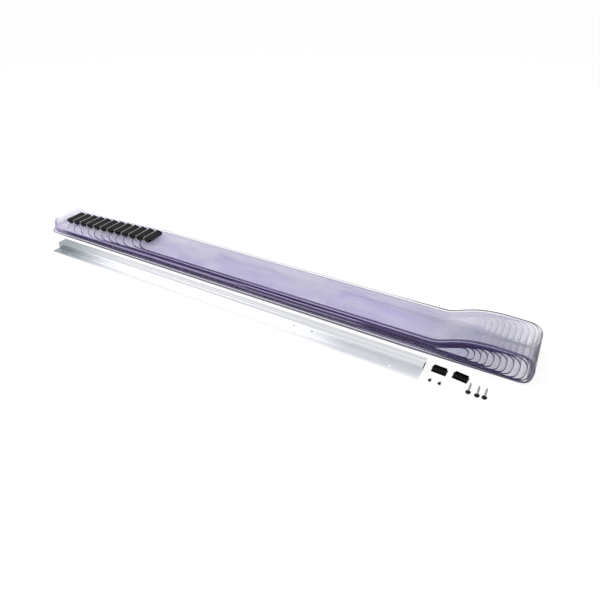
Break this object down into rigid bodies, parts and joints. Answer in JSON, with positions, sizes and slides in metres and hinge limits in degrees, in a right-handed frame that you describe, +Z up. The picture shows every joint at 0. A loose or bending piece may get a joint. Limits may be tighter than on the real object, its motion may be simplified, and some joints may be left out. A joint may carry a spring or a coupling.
{
  "type": "pvc strip curtain",
  "caption": "Clear PVC door strips folded in a nested pack with clamped hangers, laid out beside their aluminium mounting rail, end caps and screws.",
  "frame": {"origin": "middle of the mounting rail's fixing face, which lies on the floor under the kit", "axes": "+X along the rail towards the folds of the strips and the loose fittings, +Y from the rail to the pack of strips, +Z up"},
  "size_m": [1.5729, 0.2568, 0.0677],
  "materials": {
    "clear_pvc": "smooth, clear with a violet tint",
    "black_moulding": "moulded, satin black",
    "rail_aluminium": "extruded, clear anodised",
    "cap_moulding": "moulded, satin black",
    "zinc_steel": "bright zinc plated"
  },
  "bodies": {
    "rail": {"mounting_rail": "rail_aluminium"},
    "strip_body_01": {"strip_01": "clear_pvc", "hanger_01_base": "black_moulding", "hanger_01_cover": "black_moulding"},
    "strip_body_02": {"strip_02": "clear_pvc", "hanger_02_base": "black_moulding", "hanger_02_cover": "black_moulding"},
    "strip_body_03": {"strip_03": "clear_pvc", "hanger_03_base": "black_moulding", "hanger_03_cover": "black_moulding"},
    "strip_body_04": {"strip_04": "clear_pvc", "hanger_04_base": "black_moulding", "hanger_04_cover": "black_moulding"},
    "strip_body_05": {"strip_05": "clear_pvc", "hanger_05_base": "black_moulding", "hanger_05_cover": "black_moulding"},
    "strip_body_06": {"strip_06": "clear_pvc", "hanger_06_base": "black_moulding", "hanger_06_cover": "black_moulding"},
    "strip_body_07": {"strip_07": "clear_pvc", "hanger_07_base": "black_moulding", "hanger_07_cover": "black_moulding"},
    "strip_body_08": {"strip_08": "clear_pvc", "hanger_08_base": "black_moulding", "hanger_08_cover": "black_moulding"},
    "strip_body_09": {"strip_09": "clear_pvc", "hanger_09_base": "black_moulding", "hanger_09_cover": "black_moulding"},
    "strip_body_10": {"strip_10": "clear_pvc", "hanger_10_base": "black_moulding", "hanger_10_cover": "black_moulding"},
    "strip_body_11": {"strip_11": "clear_pvc", "hanger_11_base": "black_moulding", "hanger_11_cover": "black_moulding"},
    "strip_body_12": {"strip_12": "clear_pvc", "hanger_12_base": "black_moulding", "hanger_12_cover": "black_moulding"},
    "cap_body_1": {"end_cap_1": "cap_moulding"},
    "cap_body_2": {"end_cap_2": "cap_moulding"},
    "small_screw_body_1": {"small_screw_1": "zinc_steel"},
    "small_screw_body_2": {"small_screw_2": "zinc_steel"},
    "wall_screw_body_1": {"wall_screw_1": "zinc_steel"},
    "wall_screw_body_2": {"wall_screw_2": "zinc_steel"},
    "wall_screw_body_3": {"wall_screw_3": "zinc_steel"}
  },
  "joints": [
    {"name": "strip_01_draw", "type": "slide", "parent": "rail", "child": "strip_body_01", "axis": [0, 1, 0], "range_m": [0, 0.2]},
    {"name": "strip_02_draw", "type": "slide", "parent": "rail", "child": "strip_body_02", "axis": [0, 1, 0], "range_m": [0, 0.2]},
    {"name": "strip_03_draw", "type": "slide", "parent": "rail", "child": "strip_body_03", "axis": [0, 1, 0], "range_m": [0, 0.2]},
    {"name": "strip_04_draw", "type": "slide", "parent": "rail", "child": "strip_body_04", "axis": [0, 1, 0], "range_m": [0, 0.2]},
    {"name": "strip_05_draw", "type": "slide", "parent": "rail", "child": "strip_body_05", "axis": [0, 1, 0], "range_m": [0, 0.2]},
    {"name": "strip_06_draw", "type": "slide", "parent": "rail", "child": "strip_body_06", "axis": [0, 1, 0], "range_m": [0, 0.2]},
    {"name": "strip_07_draw", "type": "slide", "parent": "rail", "child": "strip_body_07", "axis": [0, 1, 0], "range_m": [0, 0.2]},
    {"name": "strip_08_draw", "type": "slide", "parent": "rail", "child": "strip_body_08", "axis": [0, 1, 0], "range_m": [0, 0.2]},
    {"name": "strip_09_draw", "type": "slide", "parent": "rail", "child": "strip_body_09", "axis": [0, 1, 0], "range_m": [0, 0.2]},
    {"name": "strip_10_draw", "type": "slide", "parent": "rail", "child": "strip_body_10", "axis": [0, 1, 0], "range_m": [0, 0.2]},
    {"name": "strip_11_draw", "type": "slide", "parent": "rail", "child": "strip_body_11", "axis": [0, 1, 0], "range_m": [0, 0.2]},
    {"name": "strip_12_draw", "type": "slide", "parent": "rail", "child": "strip_body_12", "axis": [0, 1, 0], "range_m": [0, 0.2]},
    {"name": "end_cap_1_lift", "type": "slide", "parent": "rail", "child": "cap_body_1", "axis": [0, 0, 1], "range_m": [0, 0.1]},
    {"name": "end_cap_2_lift", "type": "slide", "parent": "rail", "child": "cap_body_2", "axis": [0, 0, 1], "range_m": [0, 0.1]},
    {"name": "small_screw_1_lift", "type": "slide", "parent": "rail", "child": "small_screw_body_1", "axis": [0, 0, 1], "range_m": [0, 0.1]},
    {"name": "small_screw_2_lift", "type": "slide", "parent": "rail", "child": "small_screw_body_2", "axis": [0, 0, 1], "range_m": [0, 0.1]},
    {"name": "wall_screw_1_lift", "type": "slide", "parent": "rail", "child": "wall_screw_body_1", "axis": [0, 0, 1], "range_m": [0, 0.1]},
    {"name": "wall_screw_2_lift", "type": "slide", "parent": "rail", "child": "wall_screw_body_2", "axis": [0, 0, 1], "range_m": [0, 0.1]},
    {"name": "wall_screw_3_lift", "type": "slide", "parent": "rail", "child": "wall_screw_body_3", "axis": [0, 0, 1], "range_m": [0, 0.1]}
  ]
}
